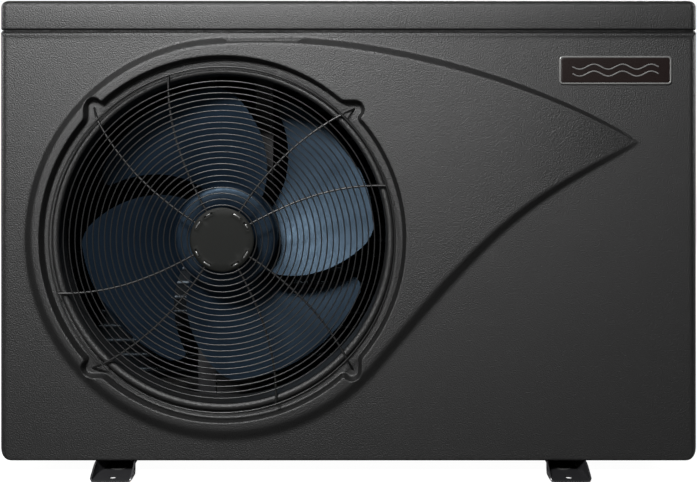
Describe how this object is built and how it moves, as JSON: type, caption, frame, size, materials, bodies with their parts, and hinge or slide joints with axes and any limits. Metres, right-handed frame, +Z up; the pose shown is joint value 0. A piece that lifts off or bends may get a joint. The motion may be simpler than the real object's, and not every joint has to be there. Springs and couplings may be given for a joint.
{
  "type": "pool heat pump unit",
  "caption": "Side-discharge air-source pool heat pump: charcoal plastic casing with a leaf-shaped relief, a round wire-guarded axial fan, two channel feet and rear water unions.",
  "frame": {"origin": "centre of the overall box in X and Y, on the ground under the feet", "axes": "+X to the right seen from the front, +Y from the front to the back, +Z up; the fan blows towards -Y"},
  "size_m": [1.01, 0.46, 0.6875],
  "materials": {
    "charcoal_plastic": "grained, semi-matt charcoal",
    "black_plastic": "satin black",
    "fan_plastic": "satin blue-grey",
    "black_steel": "satin black powder coat",
    "galvanised": "dull zinc",
    "guard_wire": "satin dark grey coating",
    "badge": "dark maroon face, silver rim",
    "fins": "coated fins",
    "copper": "drawn copper",
    "titanium": "drawn titanium",
    "bright_steel": "bright zinc",
    "rubber": "matt",
    "pvc": "satin off-white",
    "circuit_green": "matt green",
    "clear": "clear",
    "needle": "matt red"
  },
  "bodies": {
    "casing": {"base_pan": "black_steel", "foot_rail_left": "black_steel", "foot_rail_right": "black_steel", "front_panel": "charcoal_plastic", "venturi_ring": "charcoal_plastic", "fan_guard": "guard_wire", "guard_hub_plate": "guard_wire", "badge_plate": "badge", "top_cover": "charcoal_plastic", "left_side_panel": "charcoal_plastic", "right_side_panel": "charcoal_plastic", "rear_panel": "charcoal_plastic", "rear_coil_guard": "guard_wire", "motor_stator": "copper", "motor_front_shell": "galvanised", "motor_rear_shell": "galvanised", "motor_front_bearing": "bright_steel", "motor_rear_bearing": "bright_steel", "motor_bracket": "black_steel", "evaporator_fins": "fins", "evaporator_end_plate": "copper", "partition_panel": "galvanised", "compressor": "black_steel", "compressor_isolator_1": "rubber", "compressor_isolator_2": "rubber", "compressor_isolator_3": "rubber", "compressor_terminal_cover": "black_plastic", "accumulator": "black_steel", "four_way_valve": "copper", "expansion_valve": "copper", "discharge_pipe": "copper", "suction_pipe": "copper", "liquid_pipe": "copper", "heat_exchanger_tank": "pvc", "heat_exchanger_lid": "pvc", "titanium_coil": "titanium", "water_inlet_pipe": "pvc", "water_outlet_pipe": "pvc", "inlet_union_tail": "pvc", "outlet_union_tail": "pvc", "flow_switch_body": "black_plastic", "electrical_box": "black_plastic", "control_board": "circuit_green", "pressure_gauge": "bright_steel", "gauge_lens": "clear", "display_unit": "black_plastic", "cable_gland": "black_plastic"},
    "fan": {"fan_wheel": "fan_plastic", "motor_shaft": "bright_steel", "fan_nut": "bright_steel", "motor_rotor": "black_steel"},
    "inlet_nut": {"inlet_union_nut": "black_plastic"},
    "outlet_nut": {"outlet_union_nut": "black_plastic"},
    "gauge_pointer": {"gauge_needle": "needle"},
    "paddle": {"flow_switch_paddle": "bright_steel"},
    "display_door": {"display_cover": "clear"}
  },
  "joints": [
    {"name": "fan_spin", "type": "hinge", "parent": "casing", "child": "fan", "pos_m": [-0.181, -0.15, 0.342], "axis": [0, -1, 0], "continuous": true},
    {"name": "inlet_nut_turn", "type": "hinge", "parent": "casing", "child": "inlet_nut", "pos_m": [0.388, 0.2, 0.15], "axis": [0, 1, 0], "continuous": true},
    {"name": "outlet_nut_turn", "type": "hinge", "parent": "casing", "child": "outlet_nut", "pos_m": [0.388, 0.2, 0.43], "axis": [0, 1, 0], "continuous": true},
    {"name": "gauge_sweep", "type": "hinge", "parent": "casing", "child": "gauge_pointer", "pos_m": [0.25, 0.181, 0.56], "axis": [0, -1, 0], "range_deg": [-45, 225]},
    {"name": "paddle_swing", "type": "hinge", "parent": "casing", "child": "paddle", "pos_m": [0.388, 0.166, 0.473], "axis": [1, 0, 0], "range_deg": [0, 12]},
    {"name": "display_door_lift", "type": "hinge", "parent": "casing", "child": "display_door", "pos_m": [0.5039, 0, 0.4859], "axis": [0, -1, 0], "range_deg": [0, 100]}
  ]
}
